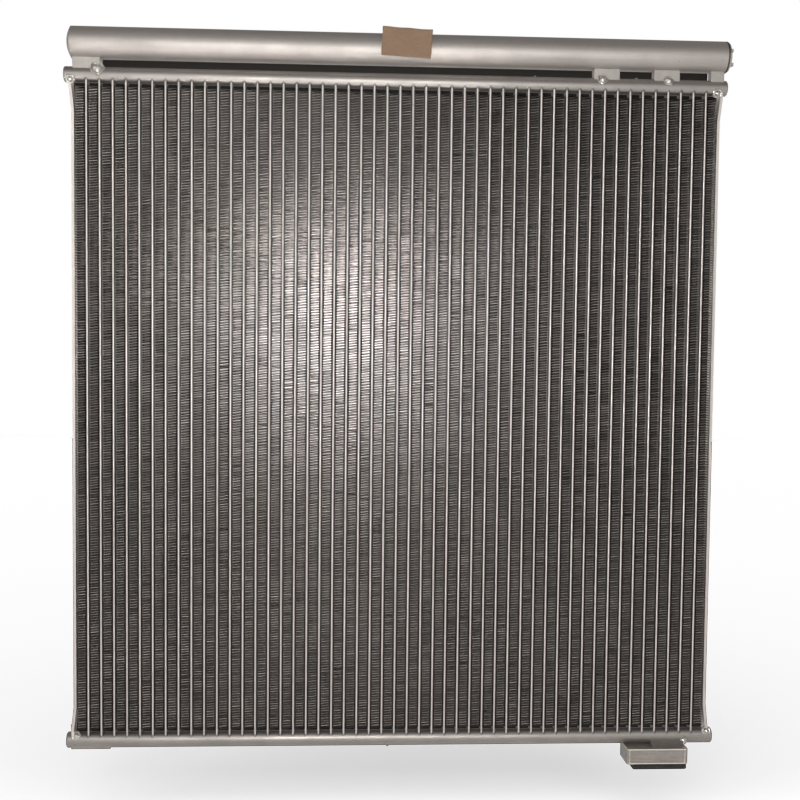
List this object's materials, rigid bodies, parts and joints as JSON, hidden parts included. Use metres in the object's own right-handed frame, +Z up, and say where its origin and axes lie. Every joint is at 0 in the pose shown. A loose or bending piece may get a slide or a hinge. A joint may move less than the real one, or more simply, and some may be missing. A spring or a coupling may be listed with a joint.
{
  "type": "parallel-flow cooler",
  "caption": "Upright brazed parallel-flow cooler or condenser: flat tubes and corrugated fins between round headers, with a receiver cylinder, ports and a screw plug.",
  "frame": {"origin": "middle of the core in plan, in the plane of the headers, at the level of the lowest point (the outlet dust cap's underside)", "axes": "+X to the right along the headers, seen from the air-inlet face; +Y through the core, from front to back; +Z up, towards the receiver"},
  "size_m": [0.6229, 0.043, 0.696],
  "materials": {
    "header_aluminium": "brazed, satin",
    "tube_aluminium": "extruded, satin",
    "fin_aluminium": "rolled sheet, semi-bright",
    "plate_aluminium": "rolled, satin",
    "bracket_aluminium": "sawn extrusion, matt",
    "receiver_aluminium": "drawn tube, satin",
    "plug_aluminium": "turned",
    "machined_aluminium": "milled",
    "weld_metal": "bright weld",
    "seal_rubber": "moulded",
    "strainer_plastic": "moulded",
    "screen_steel": "woven",
    "bag_fabric": "felt",
    "cap_rubber": "moulded",
    "tag_paper": "kraft paper"
  },
  "bodies": {
    "core": {"upper_header": "header_aluminium", "lower_header": "header_aluminium", "upper_header_cap_left": "header_aluminium", "upper_header_cap_right": "header_aluminium", "lower_header_cap_left": "header_aluminium", "lower_header_cap_right": "header_aluminium", "upper_baffle_1": "header_aluminium", "upper_baffle_2": "header_aluminium", "lower_baffle_1": "header_aluminium", "lower_baffle_2": "header_aluminium", "tubes_pass_1": "tube_aluminium", "tubes_pass_2": "tube_aluminium", "tubes_pass_3": "tube_aluminium", "tubes_pass_4": "tube_aluminium", "fin_bank_1": "fin_aluminium", "fin_bank_2": "fin_aluminium", "fin_bank_3": "fin_aluminium", "fin_bank_4": "fin_aluminium", "fin_bank_5": "fin_aluminium", "side_plate_left": "plate_aluminium", "side_plate_right": "plate_aluminium", "bracket_left": "bracket_aluminium", "bracket_right": "bracket_aluminium", "transfer_block_in": "bracket_aluminium", "transfer_block_out": "bracket_aluminium", "receiver_tube": "receiver_aluminium", "receiver_cap_left": "receiver_aluminium", "neck_ring": "receiver_aluminium", "outlet_block": "machined_aluminium", "outlet_saddle": "machined_aluminium", "inlet_block": "machined_aluminium", "bridge_weld_beads": "weld_metal", "corner_weld_beads": "weld_metal", "block_weld_bead": "weld_metal", "desiccant_bag": "bag_fabric", "paper_tag": "tag_paper"},
    "strainer": {"strainer_cage": "strainer_plastic", "strainer_screen": "screen_steel"},
    "plug": {"service_plug": "plug_aluminium", "plug_seal_rings": "seal_rubber"},
    "dust_cap": {"outlet_dust_cap": "cap_rubber"}
  },
  "joints": [
    {"name": "dust_cap_pull", "type": "slide", "parent": "core", "child": "dust_cap", "axis": [0, 0, -1], "range_m": [0, 0.012]},
    {"name": "plug_travel", "type": "slide", "parent": "core", "child": "strainer", "axis": [1, 0, 0], "range_m": [0, 0.009]},
    {"name": "plug_turn", "type": "hinge", "parent": "strainer", "child": "plug", "pos_m": [0.29, 0, 0.678], "axis": [1, 0, 0], "range_deg": [0, 2160]}
  ],
  "couplings": [
    {"joint": "plug_turn", "follows": "plug_travel", "rad_per_m": 4188.8}
  ]
}
